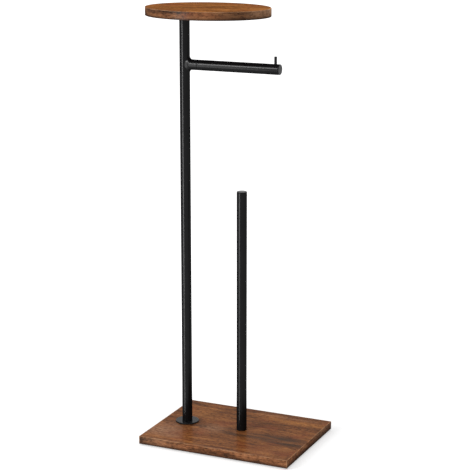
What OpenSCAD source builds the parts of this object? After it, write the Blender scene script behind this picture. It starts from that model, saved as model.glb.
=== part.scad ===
// Free-standing toilet roll holder: a rectangular foot board, a tall main post that carries an oval
// shelf and a side arm for the roll in use, and a short open post that stores spare rolls.
// Lengths are in millimetres. +Z is up, the arm points along +X, and the origin is on the floor at
// the middle of the whole outline.

/* [Foot board] */
// Length of the foot board, edge bands included
base_l = 235; // [210:1:280]
// Width of the foot board, edge bands included
base_w = 174; // [140:1:220]
// Thickness of the foot board
base_t = 12; // [11:0.5:18]
// Diameter of each anti-slip pad
pad_d = 20; // [12:1:28]
// Thickness of each anti-slip pad
pad_t = 2; // [1:0.5:5]
// Distance from the board's edges to the middle of a pad
pad_inset = 17; // [15:1:30]

/* [Shelf] */
// Length of the oval shelf, edge band included
shelf_l = 184; // [150:1:220]
// Width of the oval shelf, edge band included
shelf_w = 150; // [120:1:180]
// Thickness of the shelf
shelf_t = 12; // [11:0.5:18]
// Offset of the shelf's middle from the foot board's middle
shelf_x = -44; // [-60:1:-30]

/* [Edge bands] */
// Thickness of the strip glued round each board
band_t = 1; // [0.6:0.1:2]
// Chamfer along the long edges of the strips
band_chamfer = 0.4; // [0.2:0.1:0.5]

/* [Tubes] */
// Outer diameter of both posts and of the arm
tube_d = 15; // [14:0.5:18]
// Wall of the tubes
tube_wall = 1.2; // [1:0.1:1.6]
// Chamfer at the tube ends
tube_chamfer = 0.4; // [0.2:0.1:0.6]

/* [Main post] */
// Offset of the main post from the foot board's middle
post_x = -81; // [-85:1:-76]
// Length of the main post's tube
post_len = 605; // [560:1:700]
// Diameter of the flange under the main post
flange_d = 35; // [30:1:44]
// Thickness of that flange
flange_t = 2; // [1.5:0.5:4]
// Edge rounding of that flange
flange_round = 0.8; // [0.4:0.1:1]

/* [Shelf plate] */
// Diameter of the plate that carries the shelf
plate_d = 50; // [46:1:60]
// Thickness of that plate
plate_t = 2.5; // [2:0.5:4]
// Depth of the plate's spigot in the post
plate_spigot = 10; // [6:1:20]
// Circle on which the shelf's screws stand
plate_pcd = 36; // [32:1:38]
// Number of screws under the shelf
screw_count = 4; // [3:1:6]

/* [Roll arm] */
// Drop of the arm's axis below the top of the main post
arm_drop = 68; // [50:1:140]
// Distance from the main post's axis to the arm's end face
arm_reach = 148; // [120:1:170]
// Distance from the main post's axis to the end of the welded stub
stub_reach = 22; // [20:1:30]
// Rise of the stub's flared root above the tube
root_flare = 3.5; // [1.5:0.5:5]
// Length of that flare along the stub
root_run = 5.5; // [4:0.5:8]
// Narrowing of the stub's root at its sides
root_waist = 0.6; // [0.4:0.1:0.8]
// Diameter of the retaining pin
pin_d = 4; // [3:0.5:5]
// Height of the retaining pin above the arm
pin_rise = 10.5; // [6:0.5:16]
// Distance from the arm's end face to the retaining pin
pin_inset = 7.3; // [6:0.1:10]
// Depth of the retaining pin below the arm's top
pin_depth = 7; // [4:0.5:10]

/* [Spare roll post] */
// Offset of the spare roll post from the foot board's middle
spare_x = 8.5; // [0:0.5:30]
// Length of the spare roll post's tube
spare_len = 360; // [200:1:440]

/* [End caps] */
// Thickness of the caps' heads
cap_t = 1.2; // [0.8:0.1:3]
// Chamfer of the caps' heads
cap_chamfer = 0.5; // [0.2:0.1:0.6]
// Length of the spigot inside the spare roll post
cap_spigot = 9; // [5:1:20]
// Length of the spigot inside the arm
arm_cap_spigot = 13; // [12:1:24]

/* [Threaded inserts] */
// Length of the inserts in the feet of the posts
foot_insert_len = 16; // [14:1:30]
// Length of the insert in the arm
arm_insert_len = 15; // [10:1:30]
// Distance from the main post's wall to the insert in the stub
stub_insert_gap = 2; // [1:0.5:4]
// Length of the stud that joins arm and stub
stud_len = 22; // [18:1:24]

/* [Bolts and screws] */
// Thread diameter of the bolts and the stud
bolt_d = 6; // [5:0.5:6]
// Length of the bolts under the head
bolt_len = 20; // [18:1:22]
// Diameter of the bolt heads
bolt_head_d = 11; // [10:0.5:12]
// Height of the bolt heads
bolt_head_h = 3.2; // [2.5:0.1:3.5]
// Size of the socket in the bolt heads, across its corners
bolt_socket = 4.6; // [3.5:0.1:5]
// Diameter of the washers
washer_d = 14; // [13:0.5:16]
// Thickness of the washers
washer_t = 1.2; // [0.8:0.1:1.6]
// Depth of the recesses under the foot board
recess_depth = 5.2; // [5:0.1:6]
// Diameter of the shelf's wood screws
screw_d = 3.5; // [3:0.5:4]
// Length of those screws under the head
screw_len = 11; // [8:0.5:12]
// Diameter of the screw heads
screw_head_d = 7; // [6:0.5:8]
// Height of the screw heads
screw_head_h = 2.3; // [1.8:0.1:3]

/* [Clearances] */
// Gap round a pressed or screwed-in piece
press_gap = 0.05; // [0.05:0.01:0.1]
// Gap round a bolt or screw in a plain hole
hole_gap = 0.3; // [0.2:0.1:0.5]
// Gap round a washer in its recess
recess_gap = 1; // [0.5:0.1:2]
// Gap between the stub's root and the post that it is welded to
weld_gap = 0.05; // [0.05:0.01:0.1]

/* [Hidden] */

$fn = 96;
oval_sides = 120;
stub_sides = 64;
root_steps = 8;
rim_steps = 6;

// Shares of a head's height: its rounded rim and its socket
bolt_rim_share = 0.6;
bolt_socket_share = 0.65;
screw_rim_share = 0.7;
screw_slot_share = 0.6;
// Shares of a screw head's diameter: the length and width of each slot of the cross
slot_length_share = 0.55;
slot_width_share = 0.14;
// Share of a wood screw's diameter that its point is long
screw_tip_share = 0.7;
// Chamfers at the ends of the threads, under the plate, on the pin and round the pads
thread_chamfer = 0.5;
plate_chamfer = 0.5;
pin_chamfer = 0.4;
pad_chamfer = 0.5;

wood_brown = [0.42, 0.22, 0.11];
edge_brown = [0.33, 0.17, 0.09];
coat_black = [0.12, 0.12, 0.13];
zinc_grey = [0.70, 0.70, 0.72];
rubber_grey = [0.08, 0.08, 0.08];

tube_r = tube_d / 2;
bore_r = tube_r - tube_wall;
plug_r = bore_r - press_gap;

// The outline's middle stands over the origin, so the board's middle lies beside it.
outline_left = min(-base_l / 2, shelf_x - shelf_l / 2);
outline_right = max(base_l / 2, shelf_x + shelf_l / 2);
board_mid = -(outline_left + outline_right) / 2;
post_mid = board_mid + post_x;
spare_mid = board_mid + spare_x;
shelf_mid = board_mid + shelf_x;

base_top = pad_t + base_t;
recess_top = pad_t + recess_depth;
post_foot = base_top + flange_t;
post_top = post_foot + post_len;
shelf_bottom = post_top + plate_t;
arm_z = post_top - arm_drop;
arm_end = arm_reach - cap_t;

// Points of a quarter ellipse that rounds a rim: run is its size inwards, rise its size along the axis
function rim(radius, level, run, rise) = [
    for (i = [0 : rim_steps])
        [radius - run * (1 - cos(90 * i / rim_steps)), level + rise * sin(90 * i / rim_steps)]
];

// A point of an oval with the given length and width
function oval_point(l, w, i) = [l / 2 * cos(360 * i / oval_sides), w / 2 * sin(360 * i / oval_sides)];

module oval(l, w) {
    polygon([for (i = [0 : oval_sides - 1]) oval_point(l, w, i)]);
}

// A tube that stands on the origin, with both ends chamfered outside
module tube(length) {
    rotate_extrude()
        polygon([
            [bore_r, 0], [tube_r - tube_chamfer, 0], [tube_r, tube_chamfer],
            [tube_r, length - tube_chamfer], [tube_r - tube_chamfer, length], [bore_r, length]
        ]);
}

// A plug with a threaded hole, standing on the origin
module insert(length) {
    difference() {
        cylinder(r = plug_r, h = length);
        translate([0, 0, -1])
            cylinder(r = bolt_d / 2 + press_gap, h = length + 2);
    }
}

// A cap on a tube's end: a chamfered head above the origin and a spigot below it
module end_cap(spigot) {
    rotate_extrude()
        polygon([
            [0, -spigot], [plug_r - cap_chamfer, -spigot], [plug_r, cap_chamfer - spigot],
            [plug_r, 0], [tube_r, 0], [tube_r, cap_t - cap_chamfer], [tube_r - cap_chamfer, cap_t],
            [0, cap_t]
        ]);
}

// Moves a piece that points up so that it points along the arm, at a distance from the post's axis
module on_arm(reach) {
    translate([post_mid + reach, 0, arm_z])
        rotate([0, 90, 0])
            children();
}

// Places a child at the foot of each post, where it is bolted through the board
module at_feet() {
    for (x = [post_mid, spare_mid])
        translate([x, 0, 0])
            children();
}

// Places a child at each screw of the shelf plate
module at_screws() {
    for (i = [0 : screw_count - 1])
        translate([post_mid, 0, 0])
            rotate([0, 0, 360 / screw_count * (i + 0.5)])
                translate([plate_pcd / 2, 0, 0])
                    children();
}

// The foot board without its edge bands, with a hole and a recess under each post
module base_board() {
    color(wood_brown)
        difference() {
            translate([board_mid - base_l / 2 + band_t, -base_w / 2 + band_t, pad_t])
                cube([base_l - 2 * band_t, base_w - 2 * band_t, base_t]);
            at_feet() {
                translate([0, 0, -1])
                    cylinder(r = bolt_d / 2 + hole_gap, h = base_top + 2);
                translate([0, 0, -1])
                    cylinder(r = washer_d / 2 + recess_gap, h = recess_top + 1);
            }
        }
}

// The section of an edge strip, from its chamfered outer side at 0 to the glued side at band_t
function strip_section(height) = [
    [band_t, 0], [band_chamfer, 0], [0, band_chamfer], [0, height - band_chamfer],
    [band_chamfer, height], [band_t, height]
];

// A straight strip along X whose middle stands on the origin, with its outer side facing -Y
module base_strip(length) {
    translate([-length / 2, 0, 0])
        rotate([90, 0, 90])
            linear_extrude(length)
                polygon(strip_section(base_t));
}

// The long strips run the board's whole length
module base_edge_front() {
    color(edge_brown)
        translate([board_mid, -base_w / 2, pad_t])
            base_strip(base_l);
}

module base_edge_back() {
    color(edge_brown)
        translate([board_mid, base_w / 2, pad_t])
            rotate([0, 0, 180])
                base_strip(base_l);
}

// The short strips butt against the long ones
module base_edge_left() {
    color(edge_brown)
        translate([board_mid - base_l / 2, 0, pad_t])
            rotate([0, 0, -90])
                base_strip(base_w - 2 * band_t);
}

module base_edge_right() {
    color(edge_brown)
        translate([board_mid + base_l / 2, 0, pad_t])
            rotate([0, 0, 90])
                base_strip(base_w - 2 * band_t);
}

// Four soft pads under the corners of the foot board
module base_pads() {
    color(rubber_grey)
        for (x = [-1, 1], y = [-1, 1])
            translate([board_mid + x * (base_l / 2 - pad_inset), y * (base_w / 2 - pad_inset), 0])
                rotate_extrude()
                    polygon([
                        [0, 0], [pad_d / 2 - pad_chamfer, 0], [pad_d / 2, pad_chamfer],
                        [pad_d / 2, pad_t], [0, pad_t]
                    ]);
}

// The two bolts that pull the posts onto the board from beneath
module base_bolts() {
    head_top = recess_top - washer_t;
    rounding = bolt_head_h * bolt_rim_share;
    socket_depth = bolt_head_h * bolt_socket_share;
    color(zinc_grey)
        at_feet()
            translate([0, 0, head_top])
                difference() {
                    rotate_extrude()
                        polygon(concat(
                            [[0, bolt_len], [bolt_d / 2 - thread_chamfer, bolt_len],
                             [bolt_d / 2, bolt_len - thread_chamfer], [bolt_d / 2, 0],
                             [bolt_head_d / 2, 0]],
                            rim(bolt_head_d / 2, rounding - bolt_head_h, rounding, -rounding),
                            [[0, -bolt_head_h]]
                        ));
                    translate([0, 0, -bolt_head_h - 1])
                        cylinder(d = bolt_socket, h = socket_depth + 1, $fn = 6);
                }
}

// The two washers between the bolt heads and the board
module base_washers() {
    color(zinc_grey)
        at_feet()
            translate([0, 0, recess_top - washer_t])
                difference() {
                    cylinder(d = washer_d, h = washer_t);
                    translate([0, 0, -1])
                        cylinder(r = bolt_d / 2 + hole_gap, h = washer_t + 2);
                }
}

module main_post() {
    color(coat_black)
        translate([post_mid, 0, post_foot])
            tube(post_len);
}

// The round flange on which the main post stands
module post_flange() {
    color(coat_black)
        translate([post_mid, 0, base_top])
            rotate_extrude()
                polygon(concat(
                    [[bolt_d / 2 + hole_gap, 0], [flange_d / 2, 0]],
                    rim(flange_d / 2, flange_t - flange_round, flange_round, flange_round),
                    [[bolt_d / 2 + hole_gap, flange_t]]
                ));
}

module post_foot_insert() {
    color(zinc_grey)
        translate([post_mid, 0, post_foot])
            insert(foot_insert_len);
}

// The plate on top of the main post, with a spigot in the tube and holes for the shelf's screws
module shelf_plate() {
    color(coat_black)
        difference() {
            translate([post_mid, 0, post_top])
                rotate_extrude()
                    polygon([
                        [0, -plate_spigot], [plug_r, -plate_spigot], [plug_r, 0],
                        [plate_d / 2 - plate_chamfer, 0], [plate_d / 2, plate_chamfer],
                        [plate_d / 2, plate_t], [0, plate_t]
                    ]);
            at_screws()
                translate([0, 0, post_top - 1])
                    cylinder(r = screw_d / 2 + hole_gap, h = plate_t + 2);
        }
}

// Wood screws that hold the shelf from beneath, each with a cross recess
module shelf_screws() {
    tip = screw_d * screw_tip_share;
    rounding = screw_head_h * screw_rim_share;
    slot_l = screw_head_d * slot_length_share;
    slot_w = screw_head_d * slot_width_share;
    slot_depth = screw_head_h * screw_slot_share;
    color(zinc_grey)
        at_screws()
            translate([0, 0, post_top])
                difference() {
                    rotate_extrude()
                        polygon(concat(
                            [[0, screw_len], [screw_d / 2, screw_len - tip], [screw_d / 2, 0],
                             [screw_head_d / 2, 0]],
                            rim(screw_head_d / 2, rounding - screw_head_h, rounding, -rounding),
                            [[0, -screw_head_h]]
                        ));
                    for (turn = [0, 90])
                        rotate([0, 0, turn])
                            translate([-slot_l / 2, -slot_w / 2, -screw_head_h - 1])
                                cube([slot_l, slot_w, slot_depth + 1]);
                }
}

// The oval shelf without its edge band, with a pilot hole for each screw
module shelf_board() {
    color(wood_brown)
        difference() {
            translate([shelf_mid, 0, shelf_bottom])
                linear_extrude(shelf_t)
                    oval(shelf_l - 2 * band_t, shelf_w - 2 * band_t);
            at_screws()
                translate([0, 0, shelf_bottom - 1])
                    cylinder(r = screw_d / 2 + press_gap, h = screw_len - plate_t + 1 + press_gap);
        }
}

// The strip round the shelf: the section of the oval ring is swept point by point
module shelf_edge_band() {
    section = strip_section(shelf_t);
    count = len(section);
    points = [
        for (i = [0 : oval_sides - 1], s = section)
            concat(oval_point(shelf_l - 2 * s[0], shelf_w - 2 * s[0], i), s[1])
    ];
    function at(i, k) = (i % oval_sides) * count + k % count;
    faces = [
        for (i = [0 : oval_sides - 1], k = [0 : count - 1], half = [0, 1])
            half == 0
                ? [at(i, k), at(i, k + 1), at(i + 1, k)]
                : [at(i, k + 1), at(i + 1, k + 1), at(i + 1, k)]
    ];
    color(edge_brown)
        translate([shelf_mid, 0, shelf_bottom])
            polyhedron(points, faces);
}

// How far the stub's root has flared at a distance from the post's axis: 1 at the post, 0 on the tube
function root_share(x) =
    let (left = max(0, min(root_run, tube_r + root_run - x)))
    1 - sqrt(1 - pow(left / root_run, 2));

// Distances from the post's axis at which the stub's outline is drawn
function stub_stations() = concat(
    [0],
    [for (i = [0 : root_steps]) tube_r + root_run * i / root_steps],
    [stub_reach - tube_chamfer, stub_reach]
);

// The stub's outside, swept along X: a round tube that grows higher and a little narrower to the post
module stub_outside() {
    xs = stub_stations();
    rings = len(xs);
    points = [
        for (ring = [0 : rings - 1], i = [0 : stub_sides - 1])
            let (
                share = root_share(xs[ring]),
                end_cut = ring == rings - 1 ? tube_chamfer : 0,
                half_w = tube_r - root_waist * share - end_cut,
                half_h = tube_r + root_flare * share - end_cut,
                turn = 360 * i / stub_sides
            )
            [xs[ring], half_w * cos(turn), half_h * sin(turn)]
    ];
    function at(ring, i) = ring * stub_sides + i % stub_sides;
    sides = [
        for (ring = [0 : rings - 2], i = [0 : stub_sides - 1], half = [0, 1])
            half == 0
                ? [at(ring, i), at(ring + 1, i), at(ring, i + 1)]
                : [at(ring, i + 1), at(ring + 1, i), at(ring + 1, i + 1)]
    ];
    near_end = [[for (i = [0 : stub_sides - 1]) at(0, i)]];
    far_end = [[for (i = [0 : stub_sides - 1]) at(rings - 1, stub_sides - 1 - i)]];
    polyhedron(points, concat(sides, near_end, far_end));
}

// The short stub welded to the main post, cut to the post's curve and flared at its root
module arm_stub() {
    color(coat_black)
        difference() {
            translate([post_mid, 0, arm_z])
                stub_outside();
            on_arm(0)
                cylinder(r = bore_r, h = stub_reach + 1);
            translate([post_mid, 0, arm_z - 2 * tube_d])
                cylinder(r = tube_r + weld_gap, h = 4 * tube_d);
        }
}

module arm_stub_insert() {
    start = tube_r + stub_insert_gap;
    color(zinc_grey)
        on_arm(start)
            insert(stub_reach - start);
}

// The stud that screws into both inserts and pulls the arm against the stub
module arm_stud() {
    color(zinc_grey)
        on_arm(stub_reach - stud_len / 2)
            rotate_extrude()
                polygon([
                    [0, 0], [bolt_d / 2 - thread_chamfer, 0], [bolt_d / 2, thread_chamfer],
                    [bolt_d / 2, stud_len - thread_chamfer], [bolt_d / 2 - thread_chamfer, stud_len],
                    [0, stud_len]
                ]);
}

module arm_insert() {
    color(zinc_grey)
        on_arm(stub_reach)
            insert(arm_insert_len);
}

// A vertical hole for the retaining pin, from its foot upwards
module pin_hole() {
    translate([post_mid + arm_reach - pin_inset, 0, arm_z + tube_r - pin_depth])
        cylinder(r = pin_d / 2 + press_gap, h = tube_d);
}

module roll_arm() {
    color(coat_black)
        difference() {
            on_arm(stub_reach)
                tube(arm_end - stub_reach);
            pin_hole();
        }
}

module arm_end_cap() {
    color(coat_black)
        difference() {
            on_arm(arm_end)
                end_cap(arm_cap_spigot);
            pin_hole();
        }
}

// The upright pin that stops a roll from sliding off the arm
module retaining_pin() {
    length = pin_depth + pin_rise;
    color(coat_black)
        translate([post_mid + arm_reach - pin_inset, 0, arm_z + tube_r - pin_depth])
            rotate_extrude()
                polygon([
                    [0, 0], [pin_d / 2, 0], [pin_d / 2, length - pin_chamfer],
                    [pin_d / 2 - pin_chamfer, length], [0, length]
                ]);
}

module spare_post() {
    color(coat_black)
        translate([spare_mid, 0, base_top])
            tube(spare_len);
}

module spare_foot_insert() {
    color(zinc_grey)
        translate([spare_mid, 0, base_top])
            insert(foot_insert_len);
}

module spare_post_cap() {
    color(coat_black)
        translate([spare_mid, 0, base_top + spare_len])
            end_cap(cap_spigot);
}

base_board();
base_edge_front();
base_edge_back();
base_edge_left();
base_edge_right();
base_pads();
base_bolts();
base_washers();
main_post();
post_flange();
post_foot_insert();
shelf_plate();
shelf_screws();
shelf_board();
shelf_edge_band();
arm_stub();
arm_stub_insert();
arm_stud();
arm_insert();
roll_arm();
arm_end_cap();
retaining_pin();
spare_post();
spare_foot_insert();
spare_post_cap();
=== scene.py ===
"""
A free-standing toilet roll holder: rustic wood boards and powder-coated tubes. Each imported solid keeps
its shape and gets its finished material here.
"""
import math

import bpy
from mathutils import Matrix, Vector


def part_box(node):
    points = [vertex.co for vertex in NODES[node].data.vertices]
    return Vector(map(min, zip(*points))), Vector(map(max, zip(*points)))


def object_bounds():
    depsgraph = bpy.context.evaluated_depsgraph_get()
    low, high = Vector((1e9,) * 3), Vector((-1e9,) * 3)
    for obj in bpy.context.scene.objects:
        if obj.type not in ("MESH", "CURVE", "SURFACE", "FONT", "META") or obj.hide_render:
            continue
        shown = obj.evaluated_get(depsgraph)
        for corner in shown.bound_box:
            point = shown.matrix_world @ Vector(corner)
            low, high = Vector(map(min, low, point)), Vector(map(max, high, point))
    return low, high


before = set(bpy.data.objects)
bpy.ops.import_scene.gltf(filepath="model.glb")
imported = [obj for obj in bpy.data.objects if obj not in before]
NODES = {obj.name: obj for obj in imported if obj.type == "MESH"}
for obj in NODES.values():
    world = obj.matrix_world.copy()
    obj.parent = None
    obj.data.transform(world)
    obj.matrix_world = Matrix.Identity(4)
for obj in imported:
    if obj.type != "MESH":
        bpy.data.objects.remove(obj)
cad_low, cad_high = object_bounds()
MM = 0.001
WHITE = (1.0, 1.0, 1.0, 1.0)


def srgb(red, green, blue):
    """A colour written in 0 to 255, as the linear colour that a shader takes."""
    return tuple(((c / 255 + 0.055) / 1.055) ** 2.4 for c in (red, green, blue)) + (1.0,)


# Camera

CAMERA_AZIMUTH = math.radians(24.38)
CAMERA_PITCH = math.radians(13.56)
CAMERA_DISTANCE = 2239 * MM
CAMERA_TARGET = Vector((7 * MM, 0, 310 * MM))
CAMERA_LENS = 118.8
SENSOR = 36


def direction(azimuth, elevation):
    """From the object towards a point round it. Azimuth 0 is the front, and it grows towards +X."""
    flat = math.cos(elevation)
    return Vector((math.sin(azimuth) * flat, -math.cos(azimuth) * flat, math.sin(elevation)))


def aim(thing, place, target):
    """Puts a camera or lamp at a place and points it at a target."""
    thing.location = place
    thing.rotation_mode = "QUATERNION"
    thing.rotation_quaternion = (target - place).to_track_quat("-Z", "Y")


def make_camera():
    data = bpy.data.cameras.new("camera")
    data.lens = CAMERA_LENS
    data.sensor_width = SENSOR
    camera = bpy.data.objects.new("camera", data)
    bpy.context.scene.collection.objects.link(camera)
    aim(camera, CAMERA_TARGET + direction(CAMERA_AZIMUTH, CAMERA_PITCH) * CAMERA_DISTANCE, CAMERA_TARGET)
    bpy.context.scene.camera = camera


# Node trees


class Tree:
    """A material's or world's node tree, with one short method for each kind of node."""

    def __init__(self, owner):
        owner.use_nodes = True
        self.nodes = owner.node_tree.nodes
        self.links = owner.node_tree.links
        self.nodes.clear()

    def add(self, kind, settings=None, inputs=None):
        """A new node, its settings and its inputs, each a number, a colour or another node's output."""
        node = self.nodes.new(kind)
        for name, value in (settings or {}).items():
            setattr(node, name, value)
        for name, value in (inputs or {}).items():
            if isinstance(value, bpy.types.NodeSocket):
                self.links.new(value, node.inputs[name])
            else:
                node.inputs[name].default_value = value
        return node

    def math(self, operation, first, second=0.0):
        return self.add("ShaderNodeMath", {"operation": operation}, {0: first, 1: second}).outputs[0]

    def plus(self, first, second):
        return self.math("ADD", first, second)

    def minus(self, first, second):
        return self.math("SUBTRACT", first, second)

    def times(self, first, second):
        return self.math("MULTIPLY", first, second)

    def blend(self, values_and_shares):
        """The sum of some values, each times its share."""
        total = None
        for value, share in values_and_shares:
            part = self.times(value, share)
            total = self.plus(total, part) if total else part
        return total

    def vector(self, operation, first, second=(0.0, 0.0, 0.0)):
        return self.add("ShaderNodeVectorMath", {"operation": operation}, {0: first, 1: second}).outputs[0]

    def length(self, vector):
        return self.add("ShaderNodeVectorMath", {"operation": "LENGTH"}, {0: vector}).outputs["Value"]

    def combine(self, x, y, z):
        return self.add("ShaderNodeCombineXYZ", None, {0: x, 1: y, 2: z}).outputs[0]

    def parts(self, vector):
        """The three numbers of a vector."""
        return self.add("ShaderNodeSeparateXYZ", None, {0: vector}).outputs

    def noise(self, place, scale, detail=2.0, roughness=0.5):
        """Cloudy grey from 0 to 1. place is in metres and scale is in features to a metre."""
        inputs = {"Vector": place, "Scale": scale, "Detail": detail, "Roughness": roughness}
        return self.add("ShaderNodeTexNoise", None, inputs).outputs["Fac"]

    def ramp(self, factor, stops):
        """Colours or greys at places from 0 to 1 along a factor."""
        node = self.add("ShaderNodeValToRGB", None, {"Fac": factor})
        elements = node.color_ramp.elements
        while len(elements) < len(stops):
            elements.new(0.5)
        for element, (place, colour) in zip(elements, stops):
            element.position = place
            element.color = colour if isinstance(colour, tuple) else (colour, colour, colour, 1.0)
        return node.outputs["Color"]

    def fade(self, value, start, end):
        """0 below start, 1 above end and smooth between them. For a fade that falls, start is above end."""
        settings = {"interpolation_type": "SMOOTHSTEP"}
        inputs = {"Value": value, "From Min": start, "From Max": end}
        return self.add("ShaderNodeMapRange", settings, inputs).outputs[0]

    def mix(self, factor, first, second, blend="MIX"):
        settings = {"data_type": "RGBA", "blend_type": blend}
        return self.add("ShaderNodeMix", settings, {0: factor, 6: first, 7: second}).outputs[2]

    def multiply(self, colour, shade):
        return self.mix(1.0, colour, shade, "MULTIPLY")

    def bump(self, height, strength, distance):
        inputs = {"Height": height, "Strength": strength, "Distance": distance}
        return self.add("ShaderNodeBump", None, inputs).outputs["Normal"]

    def surface(self, inputs):
        shader = self.add("ShaderNodeBsdfPrincipled", None, inputs)
        self.add("ShaderNodeOutputMaterial", None, {"Surface": shader.outputs[0]})


def new_material(name):
    material = bpy.data.materials.new(name)
    tree = Tree(material)
    place = tree.add("ShaderNodeTexCoord").outputs["Object"]
    return material, tree, place


# Wood colours

FACE_TONES = (srgb(76, 46, 26), srgb(112, 68, 38), srgb(134, 83, 46), srgb(168, 111, 65))
SHELF_TONES = (srgb(84, 51, 27), srgb(124, 77, 40), srgb(150, 94, 48), srgb(182, 120, 66))
LONG_EDGE_TONES = (srgb(50, 31, 21), srgb(112, 70, 43), srgb(158, 103, 68), srgb(202, 144, 102))
# The long edges' tones made lighter for the short edges: painted fill light, since the right end lies in
# shade
SHORT_EDGE_FILL_TONES = (srgb(60, 38, 26), srgb(128, 80, 52), srgb(172, 112, 76), srgb(210, 148, 102))
RIM_TONES = (srgb(48, 30, 20), srgb(98, 63, 41), srgb(132, 88, 58), srgb(170, 122, 84))
SMOKE = srgb(66, 50, 40)
AMBER = srgb(186, 122, 66)
TAN = srgb(180, 134, 102)
RUST = srgb(132, 70, 42)
# Light tan of rubbed wear, also used for the painted edge highlight and for painted fill light
WORN_AND_LIT = srgb(186, 142, 106)
PALE = srgb(236, 188, 150)
# Dark of the split lines and dark lines in the wood, also used for the painted shade on the lower side of
# the edge strips
SEAM_AND_SHADE = srgb(44, 27, 19)

# Places of the four tones between the deepest and the lightest part of the pattern
TONE_PLACES = (0.4, 0.47, 0.53, 0.62)

# Layers of the pattern. The first number shortens the place along the grain, which draws the noise out.
# Then come the features to a metre across the grain, the detail and the roughness
SWAY = (0.5, 18, 2.0, 0.5)
CLOUDS = (0.55, 19, 4.0, 0.6)
BANDS = (0.1, 120, 3.0, 0.55)
MOTTLE = (0.6, 290, 4.0, 0.7)
STREAKS = (0.07, 560, 3.0, 0.6)
FIBRES = (0.04, 2300, 2.0, 0.6)
REDNESS = (0.8, 31, 3.0, 0.5)
SMOKE_CLOUDS = (0.4, 34, 4.0, 0.65)
FLECKS = (0.22, 620, 2.0, 0.7)
RIDGES = (0.07, 130, 3.0, 0.5)
TOP_LINE_BREAKS = (0.3, 160, 3.0, 0.6)

# A pattern's seed moves it along all three directions by these shares
SEED_SHARES = (1.0, 0.37, 0.71)
SWAY_WIDTH = 20 * MM

# Shares of the clouds, bands, mottle and streaks in the depth of the wood's tone
DEPTH_SHARES = (0.26, 0.36, 0.24, 0.14)

# How strongly the tints of the pattern cover the wood
RUST_SHARE = 0.45
SMOKE_SHARE = 0.6
SPLIT_SHARE = 0.6
WEAR_AND_HIGHLIGHT_SHARE = 0.55
LOWER_SHADE_SHARE = 0.9

# The noise at which a tint starts and at which it is full
RUST_RANGE = (0.52, 0.68)
SPLIT_RANGE = (0.46, 0.56)
TOP_LINE_RANGE = (0.35, 0.62)

# The rise of the noise over which smoke and pores set in, and that from the middle of a split to its side
SMOKE_SOFTNESS = 0.16
PORE_SOFTNESS = 0.08
SPLIT_WIDTH = 0.009

# The grey that a pore gives the wood
PORE_SHADE = 0.55

# Greys along a noise: each pair is a value of the noise and the grey there
FIBRE_SHADES = ((0.32, 0.8), (0.5, 1.0), (0.72, 1.14))
MOTTLE_SHADES = ((0.34, 0.6), (0.44, 1.0))
TORN_BY_BANDS = ((0.36, 1.0), (0.64, 0.4))
TORN_BY_MOTTLE = ((0.4, 0.5), (0.58, 1.0))
FOIL_ROUGHNESS = ((0.3, 0.6), (0.7, 0.45))
SATIN_ROUGHNESS = ((0.3, 0.22), (0.7, 0.32))

# Height of the fibres and depth of the splits as shares of the foil's relief, and how much of it shows
FIBRE_RELIEF = 0.5
SPLIT_RELIEF = 0.8
FOIL_RELIEF = 0.12 * MM
FOIL_BUMP = 0.3

# Edge strips: how far from the upright corners and from the top the lighter line starts and is full (rubbed
# wear at the corners, rubbed wear with a painted edge highlight along the top), and how ragged and how soft
# the painted shade on the lower side is
CORNER_RUB = (1.6 * MM, 0.6 * MM)
TOP_WEAR_AND_HIGHLIGHT = (0.9 * MM, 0.4 * MM)
LOWER_SHADE_RAGGED = 3 * MM
LOWER_SHADE_SOFT = 1.5 * MM

# The foil's satin top mirrors about as much from every side, so that the white room leaves no veil
# on the boards, which are seen at a low angle
SATIN_IOR = 4.0


# Wood pattern


def grain_along_x(tree, place):
    """The place as it is, because its first number already runs along the grain."""
    return place


def grain_along_y(tree, place):
    """The place turned so that its first number runs along Y, as the grain of the short edges does."""
    x, y, z = tree.parts(place)
    return tree.combine(y, x, z)


def grain_round_shelf(tree, place):
    """The place unrolled round the oval shelf, so that the grain follows its rim."""
    low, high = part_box("shelf_edge_band")
    middle = (low + high) / 2
    half = (high - low) / 2
    x, y, z = tree.parts(tree.vector("SUBTRACT", place, tuple(middle)))
    turn = tree.math("ARCTAN2", tree.math("DIVIDE", x, half.x), tree.math("DIVIDE", y, -half.y))
    run = tree.times(turn, (half.x + half.y) / 2)
    return tree.combine(run, 0.0, z)


def layer(tree, place, recipe):
    """One layer of noise, drawn out along the grain."""
    along, scale, detail, roughness = recipe
    return tree.noise(tree.vector("MULTIPLY", place, (along, 1.0, 1.0)), scale, detail, roughness)


def swayed(tree, place):
    """The place moved a little across the grain, so that the grain wavers."""
    sway = tree.minus(layer(tree, place, SWAY), 0.5)
    return tree.vector("ADD", place, tree.combine(0.0, tree.times(sway, SWAY_WIDTH), 0.0))


def smudge(tree, run, middle, half_size):
    """1 in the middle of an oval patch and 0 from its outline on. Its place and size are in millimetres."""
    offset = tree.vector("SUBTRACT", run, (middle[0] * MM, middle[1] * MM, 0.0))
    shrink = (1 / (half_size[0] * MM), 1 / (half_size[1] * MM), 0.0)
    return tree.fade(tree.length(tree.vector("MULTIPLY", offset, shrink)), 1.0, 0.0)


def with_stains_and_light(tree, colour, run, stains_and_painted_light, bands, mottle):
    """The colour with its patches, the wood's own stain and painted light, each torn along the bands and the
    mottle.
    """
    for middle, half_size, strength, tint in stains_and_painted_light:
        patch = tree.times(smudge(tree, run, middle, half_size), strength)
        torn = tree.times(patch, tree.ramp(bands, TORN_BY_BANDS))
        torn = tree.times(torn, tree.ramp(mottle, TORN_BY_MOTTLE))
        colour = tree.mix(torn, colour, tint)
    return colour


def split_lines(tree, place, smoke_cloud):
    """1 on the fine splits along the grain, which lie in the smoky stretches."""
    ridge = tree.math("ABSOLUTE", tree.minus(layer(tree, place, RIDGES), 0.5))
    return tree.times(tree.fade(ridge, SPLIT_WIDTH, 0.0), tree.fade(smoke_cloud, *SPLIT_RANGE))


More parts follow.
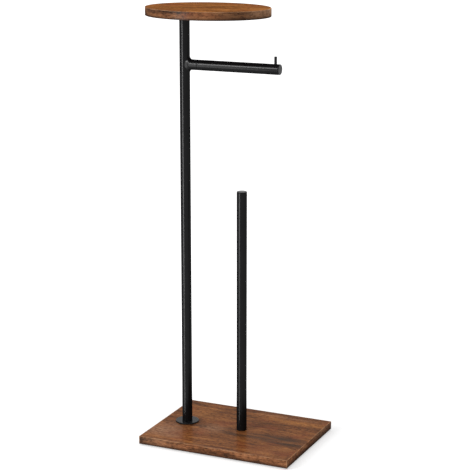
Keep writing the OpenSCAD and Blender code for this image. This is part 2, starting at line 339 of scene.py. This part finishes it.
def strip_wear_and_painted_light(tree, colour, object_place, place, mottle, strip):
    """An edge strip's colour: lighter at upright corners from rubbed wear, lighter along its top from rubbed
    wear and a painted edge highlight, and darker on its lower side with painted shade.
    """
    low, high, shade_reach = strip
    middle = (low + high) / 2
    half = (high - low) / 2
    away = tree.vector("ABSOLUTE", tree.vector("SUBTRACT", object_place, tuple(middle)))
    outward = tree.parts(away)
    near_side, near_front = (tree.fade(outward[axis], half[axis] - CORNER_RUB[0], half[axis] - CORNER_RUB[1])
                             for axis in (0, 1))
    height = tree.parts(object_place)[2]
    # Lighter along the top: rubbed wear with a painted edge highlight, broken up by noise
    top_line_breaks = tree.fade(layer(tree, place, TOP_LINE_BREAKS), *TOP_LINE_RANGE)
    top = tree.times(tree.fade(height, high.z - TOP_WEAR_AND_HIGHLIGHT[0], high.z - TOP_WEAR_AND_HIGHLIGHT[1]), top_line_breaks)
    wear_and_highlight = tree.math("MAXIMUM", top, tree.times(near_side, near_front))
    colour = tree.mix(tree.times(wear_and_highlight, WEAR_AND_HIGHLIGHT_SHARE), colour, WORN_AND_LIT)
    # Painted shade: the lower side of the strip darkened towards the floor, with a ragged upper edge
    level = tree.minus(height, tree.times(mottle, LOWER_SHADE_RAGGED))
    dark = tree.fade(level, low.z + shade_reach - LOWER_SHADE_SOFT, low.z - LOWER_SHADE_SOFT)
    return tree.mix(tree.times(dark, LOWER_SHADE_SHARE), colour, SEAM_AND_SHADE)


def wood_material(name, grain, seed, tones, satin, stains_and_painted_light=(), smoke_from=0.56, pores_from=0.6, strip=None):
    """
    Rustic wood-grain foil: clouds, bands, streaks and fibres along the grain, wavering a little, with dark
    pores and split lines. satin is the weight of its gloss and stains_and_painted_light are tinted patches
    at
    given places: some are the wood's own stain, some are painted sheen, painted highlight and painted fill
    light.
    smoke_from and pores_from are the noise above which there is smoke and there are pores. strip says that
    it is an edge strip: the lowest and highest corner of its board, and how far up its lower side gets
    painted shade.
    """
    material, tree, object_place = new_material(name)
    run = grain(tree, object_place)
    place = swayed(tree, tree.vector("ADD", run, tuple(seed * share for share in SEED_SHARES)))
    clouds, bands, mottle, streaks, fibres, redness, smoke_cloud, flecks = (
        layer(tree, place, recipe)
        for recipe in (CLOUDS, BANDS, MOTTLE, STREAKS, FIBRES, REDNESS, SMOKE_CLOUDS, FLECKS)
    )
    depth = tree.blend(zip((clouds, bands, mottle, streaks), DEPTH_SHARES))
    colour = tree.ramp(depth, list(zip(TONE_PLACES, tones)))
    colour = tree.mix(tree.times(tree.fade(redness, *RUST_RANGE), RUST_SHARE), colour, RUST)
    smoke = tree.fade(smoke_cloud, smoke_from, smoke_from + SMOKE_SOFTNESS)
    colour = tree.mix(tree.times(smoke, SMOKE_SHARE), colour, SMOKE)
    colour = with_stains_and_light(tree, colour, run, stains_and_painted_light, bands, mottle)
    colour = tree.multiply(colour, tree.ramp(fibres, FIBRE_SHADES))
    colour = tree.multiply(colour, tree.ramp(mottle, MOTTLE_SHADES))
    pores = tree.ramp(flecks, [(pores_from, 1.0), (pores_from + PORE_SOFTNESS, PORE_SHADE)])
    colour = tree.multiply(colour, pores)
    split = split_lines(tree, place, smoke_cloud)
    colour = tree.mix(tree.times(split, SPLIT_SHARE), colour, SEAM_AND_SHADE)
    if strip:
        colour = strip_wear_and_painted_light(tree, colour, object_place, place, mottle, strip)
    relief = tree.minus(tree.times(fibres, FIBRE_RELIEF), tree.times(split, SPLIT_RELIEF))
    tree.surface({
        "Base Color": colour,
        "Roughness": tree.ramp(streaks, FOIL_ROUGHNESS),
        "Specular IOR Level": 0.0,
        "Normal": tree.bump(tree.plus(relief, pores), FOIL_BUMP, FOIL_RELIEF),
        "Coat Weight": satin,
        "Coat IOR": SATIN_IOR,
        "Coat Roughness": tree.ramp(mottle, SATIN_ROUGHNESS),
    })
    return material


# Coat, plastic, zinc and rubber

COAT_DARK = (0.0045, 0.0045, 0.005, 1.0)
COAT_LIGHT = (0.007, 0.007, 0.0075, 1.0)
PLASTIC_DARK = (0.006, 0.006, 0.0065, 1.0)
PLASTIC_LIGHT = (0.011, 0.011, 0.0115, 1.0)
ZINC_DARK = srgb(170, 170, 172)
ZINC_LIGHT = srgb(206, 204, 196)
FOAM_DARK = srgb(20, 20, 21)
FOAM_LIGHT = srgb(48, 48, 49)

# The long tubes mirror about as much at their outlines as in the middle. Seen flat, the plates mirror more.
TUBE_GLOSS = {"Specular IOR Level": 0.0, "Coat Weight": 0.022, "Coat IOR": SATIN_IOR, "Coat Roughness": 0.2}
PLATE_GLOSS = {"Specular IOR Level": 0.12}


def coat_material(name, gloss):
    """Satin black powder coat with its fine pebbled surface. gloss is the shader's inputs for it."""
    material, tree, place = new_material(name)
    pebbles = tree.noise(place, scale=2200, detail=2.0)
    patches = tree.noise(place, scale=45, detail=3.0)
    colour = tree.ramp(patches, [(0.3, COAT_DARK), (0.7, COAT_LIGHT)])
    rough = tree.ramp(patches, [(0.3, 0.24), (0.7, 0.3)])
    normal = tree.bump(pebbles, strength=0.05, distance=0.04 * MM)
    tree.surface({"Base Color": colour, "Roughness": rough, "Normal": normal, **gloss})
    return material


def plastic_material():
    """Smooth black plastic of the pressed-in caps, with fine scuffs."""
    material, tree, place = new_material("cap_plastic_fine")
    scuffs = tree.noise(place, scale=900, detail=4.0, roughness=0.65)
    colour = tree.ramp(scuffs, [(0.3, PLASTIC_DARK), (0.7, PLASTIC_LIGHT)])
    rough = tree.ramp(scuffs, [(0.35, 0.14), (0.65, 0.22)])
    normal = tree.bump(scuffs, strength=0.05, distance=0.02 * MM)
    tree.surface({"Base Color": colour, "Roughness": rough, "Specular IOR Level": 0.1, "Normal": normal})
    return material


def zinc_material():
    """Bright zinc plate, a little cloudy."""
    material, tree, place = new_material("zinc_plate_fine")
    blotches = tree.noise(place, scale=300, detail=4.0)
    colour = tree.ramp(blotches, [(0.3, ZINC_DARK), (0.7, ZINC_LIGHT)])
    rough = tree.ramp(blotches, [(0.3, 0.24), (0.7, 0.4)])
    crystals = tree.noise(place, scale=2500, detail=2.0)
    normal = tree.bump(crystals, strength=0.1, distance=0.03 * MM)
    tree.surface({"Base Color": colour, "Metallic": 1.0, "Roughness": rough, "Normal": normal})
    return material


def pad_material():
    """Black foam rubber with small pits."""
    material, tree, place = new_material("pad_foam_fine")
    pits = tree.noise(place, scale=1600, detail=3.0, roughness=0.6)
    colour = tree.ramp(pits, [(0.35, FOAM_DARK), (0.65, FOAM_LIGHT)])
    normal = tree.bump(pits, strength=0.5, distance=0.2 * MM)
    tree.surface({"Base Color": colour, "Roughness": 0.85, "Normal": normal})
    return material


# Stage

FLOOR_HALF = 9.0
FLOOR_GAP = 0.02 * MM
FLOOR_BOUNCE = (0.45, 0.45, 0.45, 1.0)
FLOOR_SHOWN = (0.62, 0.62, 0.62, 1.0)
AMBIENT = 0.5
BACKDROP = 1.0
GLOW_NEAR = 0.5
GLOW_FAR = 1.0
SHADOW_REACH = 160 * MM


def seen_directly(tree):
    """1 for camera, mirror and see-through rays, which show the white background, and 0 for the rest."""
    path = tree.add("ShaderNodeLightPath")
    mirrored = tree.math("MAXIMUM", path.outputs["Is Glossy Ray"], path.outputs["Is Transmission Ray"])
    return tree.math("MAXIMUM", path.outputs["Is Camera Ray"], mirrored)


def make_world():
    world = bpy.data.worlds.new("studio")
    bpy.context.scene.world = world
    tree = Tree(world)
    ambient = tree.add("ShaderNodeBackground", None, {"Color": WHITE, "Strength": AMBIENT})
    backdrop = tree.add("ShaderNodeBackground", None, {"Color": WHITE, "Strength": BACKDROP})
    mixed = tree.add("ShaderNodeMixShader", None,
                     {0: seen_directly(tree), 1: ambient.outputs[0], 2: backdrop.outputs[0]})
    tree.add("ShaderNodeOutputWorld", None, {"Surface": mixed.outputs[0]})


def floor_material():
    """White paper that glows more away from the object, so that only the shadow at its foot is grey."""
    material, tree, place = new_material("floor_white")
    low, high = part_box("base_board")
    middle = (low + high) / 2
    half = (high - low) / 2
    away = tree.vector("ABSOLUTE", tree.vector("SUBTRACT", place, (middle.x, middle.y, 0.0)))
    outside = tree.vector("MAXIMUM", tree.vector("SUBTRACT", away, (half.x, half.y, 0.0)))
    far = tree.fade(tree.length(outside), 0.0, SHADOW_REACH)
    strength = tree.plus(tree.times(far, GLOW_FAR - GLOW_NEAR), GLOW_NEAR)
    bounce = tree.add("ShaderNodeBsdfDiffuse", None, {"Color": FLOOR_BOUNCE})
    shown = tree.add("ShaderNodeBsdfDiffuse", None, {"Color": FLOOR_SHOWN})
    glow = tree.add("ShaderNodeEmission", None, {"Color": WHITE, "Strength": strength})
    lit = tree.add("ShaderNodeAddShader", None, {0: shown.outputs[0], 1: glow.outputs[0]})
    mixed = tree.add("ShaderNodeMixShader", None,
                     {0: seen_directly(tree), 1: bounce.outputs[0], 2: lit.outputs[0]})
    tree.add("ShaderNodeOutputMaterial", None, {"Surface": mixed.outputs[0]})
    return material


def make_floor():
    """A square sheet of floor, a hair below the pads."""
    mesh = bpy.data.meshes.new("floor")
    level = cad_low.z - FLOOR_GAP
    corners = [(x * FLOOR_HALF, y * FLOOR_HALF, level) for x, y in ((-1, -1), (1, -1), (1, 1), (-1, 1))]
    mesh.from_pydata(corners, [], [(0, 1, 2, 3)])
    mesh.materials.append(floor_material())
    floor = bpy.data.objects.new("floor", mesh)
    bpy.context.scene.collection.objects.link(floor)


# Lamps

KEY_AZIMUTH = math.radians(-32)
KEY_DISTANCE = 1.0
KEY_SIZE = (0.35, 1.2)
KEY_GLOW = 7.0
TOP_SIZE = (1.2, 1.2)
TOP_HEIGHT = 1.9
TOP_GLOW = 2.3

# Lamps that only the metal mirrors: a tall one for the line down each post, and a small one for the arm's
POST_GLINT_AZIMUTH = math.radians(-27)
POST_GLINT_DISTANCE = 0.05
POST_GLINT_SIZE = (0.009, 1.2)
POST_GLINT_GLOWS = {"main_post": 18.5, "spare_post": 11.5}
ARM_GLINT_AZIMUTH = math.radians(-26)
ARM_GLINT_ELEVATION = math.radians(24)
ARM_GLINT_DISTANCE = 1.0
ARM_GLINT_SIZE = (0.3, 0.24)
ARM_GLINT_GLOW = 26.0
ARM_PIECES = ("arm_stub", "roll_arm")


def make_lamp(name, place, target, size, glow):
    """A soft rectangular lamp that the camera doesn't see. size is width and height, glow the radiance."""
    data = bpy.data.lights.new(name, "AREA")
    data.shape = "RECTANGLE"
    data.size, data.size_y = size
    data.energy = glow * math.pi * data.size * data.size_y
    lamp = bpy.data.objects.new(name, data)
    bpy.context.scene.collection.objects.link(lamp)
    aim(lamp, place, target)
    lamp.visible_camera = False
    return lamp


def make_glint(name, place, target, size, glow, pieces):
    """A lamp that shows only as a gleam on the named nodes."""
    lamp = make_lamp(name, place, target, size, glow)
    lamp.visible_diffuse = False
    lit = bpy.data.collections.new(name + "_pieces")
    for piece in pieces:
        lit.objects.link(NODES[piece])
    lamp.light_linking.receiver_collection = lit


def make_room_lamps():
    """A tall soft lamp at the front left that stands on the floor, and a broad one overhead."""
    level = Vector((0, 0, KEY_SIZE[1] / 2))
    place = level + direction(KEY_AZIMUTH, 0) * KEY_DISTANCE
    make_lamp("key", place, level, KEY_SIZE, KEY_GLOW)
    make_lamp("top", Vector((0, 0, TOP_HEIGHT)), Vector((0, 0, 0)), TOP_SIZE, TOP_GLOW)


def make_glints():
    """The gleam on each post and on the arm."""
    for post, glow in POST_GLINT_GLOWS.items():
        low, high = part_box(post)
        level = Vector(((low.x + high.x) / 2, (low.y + high.y) / 2, POST_GLINT_SIZE[1] / 2))
        place = level + direction(POST_GLINT_AZIMUTH, 0) * POST_GLINT_DISTANCE
        make_glint(post + "_glint", place, level, POST_GLINT_SIZE, glow, (post,))
    low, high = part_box("roll_arm")
    arm = (low + high) / 2
    place = arm + direction(ARM_GLINT_AZIMUTH, ARM_GLINT_ELEVATION) * ARM_GLINT_DISTANCE
    make_glint("arm_glint", place, arm, ARM_GLINT_SIZE, ARM_GLINT_GLOW, ARM_PIECES)


# Stains and patches of painted light, in millimetres along and across the grain: the middle, the half size,
# the strength and the tint

BASE_STAINS_AND_PAINTED_LIGHT = (
    ((-62, 42), (28, 32), 0.5, AMBER),
    ((-49, -20), (10, 8), 0.8, AMBER),
    ((84, 58), (90, 16), 0.95, AMBER),
    # Painted sheen: these two patches make the front left of the face lighter, where the light from the left
    # sheens on it
    ((-92, -46), (48, 44), 0.85, TAN),
    ((-70, -66), (34, 10), 0.5, TAN),
    ((-22, -14), (32, 32), 0.6, TAN),
    ((85, -64), (60, 22), 0.9, RUST),
    ((88, -62), (64, 26), 0.4, SEAM_AND_SHADE),
    ((80, -14), (70, 24), 1.0, SMOKE),
    ((96, -24), (56, 20), 1.0, SMOKE),
    ((32, -22), (72, 15), 0.6, SMOKE),
    ((-52, -30), (24, 11), 0.55, SMOKE),
    ((-116, 0), (4, 130), 0.8, SEAM_AND_SHADE),
    ((60, 72), (100, 5), 0.7, TAN),
    ((10, 84), (180, 9), 0.9, SEAM_AND_SHADE),
    # Painted edge highlight: a light line along the front of the face
    ((10, -85.5), (180, 4), 0.5, TAN),
    ((10, -80.5), (150, 3), 0.75, SEAM_AND_SHADE),
)
FRONT_STAINS = (((-75, -86), (45, 10), 0.5, TAN),)

# On the short edges the first number runs along Y and the second along X
# Painted fill light: the back part of the right edge made lighter, as it lies in shade
SIDE_FILL_LIGHT = (((48, 126), (64, 10), 0.8, TAN),)

# Round the shelf the first number runs along the rim from its front, and the second is always 0
RIM_STAINS_AND_FILL_LIGHT = (
    ((-80, 0), (60, 60), 0.5, SMOKE),
    ((30, 0), (40, 40), 0.4, RUST),
    ((62, 0), (36, 36), 0.8, SEAM_AND_SHADE),
    # Painted fill light: the rim's right end, which the lamps leave in shade, made lighter
    ((108, 0), (32, 32), 1.0, WORN_AND_LIT),
    ((118, 0), (44, 44), 1.0, TAN),
    ((150, 0), (40, 40), 1.0, PALE),
    ((164, 0), (46, 46), 1.0, PALE),
)


# Dressing

# How far up their sides the strips get painted shade
LONG_EDGE_SHADE = 6 * MM
SHORT_EDGE_SHADE = 12 * MM
RIM_SHADE = 5 * MM


def wood_finishes():
    """The foils of the foot board's face, the shelf's face, the long and the short edges and the rim."""
    board = (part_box("base_edge_front")[0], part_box("base_edge_back")[1])
    base_face = wood_material("base_face_foil", grain_along_x, seed=3.1, tones=FACE_TONES, satin=0.07,
                              stains_and_painted_light=BASE_STAINS_AND_PAINTED_LIGHT, smoke_from=0.64)
    shelf_face = wood_material("shelf_face_foil", grain_along_x, seed=11.4, tones=SHELF_TONES, satin=0.01)
    long_edge = wood_material("base_long_edge_foil", grain_along_x, seed=7.7, tones=LONG_EDGE_TONES,
                              satin=0.025, stains_and_painted_light=FRONT_STAINS, smoke_from=0.54, pores_from=0.56,
                              strip=(*board, LONG_EDGE_SHADE))
    short_edge = wood_material("base_short_edge_foil", grain_along_y, seed=5.3, tones=SHORT_EDGE_FILL_TONES,
                               satin=0.025, stains_and_painted_light=SIDE_FILL_LIGHT, smoke_from=0.54, pores_from=0.56,
                               strip=(*board, SHORT_EDGE_SHADE))
    rim = wood_material("shelf_edge_foil", grain_round_shelf, seed=2.6, tones=RIM_TONES, satin=0.02,
                        stains_and_painted_light=RIM_STAINS_AND_FILL_LIGHT, pores_from=0.56, strip=(*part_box("shelf_edge_band"), RIM_SHADE))
    return base_face, shelf_face, long_edge, short_edge, rim


def dress_nodes():
    """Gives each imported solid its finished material: its own, or else that of its slot."""
    base_face, shelf_face, long_edge, short_edge, rim = wood_finishes()
    plate_coat = coat_material("plate_coat_fine", PLATE_GLOSS)
    tube_coat = coat_material("tube_coat_fine", TUBE_GLOSS)
    plastic = plastic_material()
    finish = {"wood_face": base_face, "wood_edge": long_edge, "black_coat": plate_coat,
              "zinc_steel": zinc_material(), "pad_rubber": pad_material()}
    special = {"shelf_board": shelf_face, "shelf_edge_band": rim, "base_edge_left": short_edge,
               "base_edge_right": short_edge, "arm_end_cap": plastic, "spare_post_cap": plastic}
    special.update({piece: tube_coat for piece in (*POST_GLINT_GLOWS, *ARM_PIECES)})
    for name, node in NODES.items():
        slot = node.data.materials[0].name
        node.data.materials[0] = special.get(name, finish[slot])


bpy.context.scene.view_settings.view_transform = "Standard"
make_camera()
make_world()
make_floor()
dress_nodes()
make_room_lamps()
make_glints()
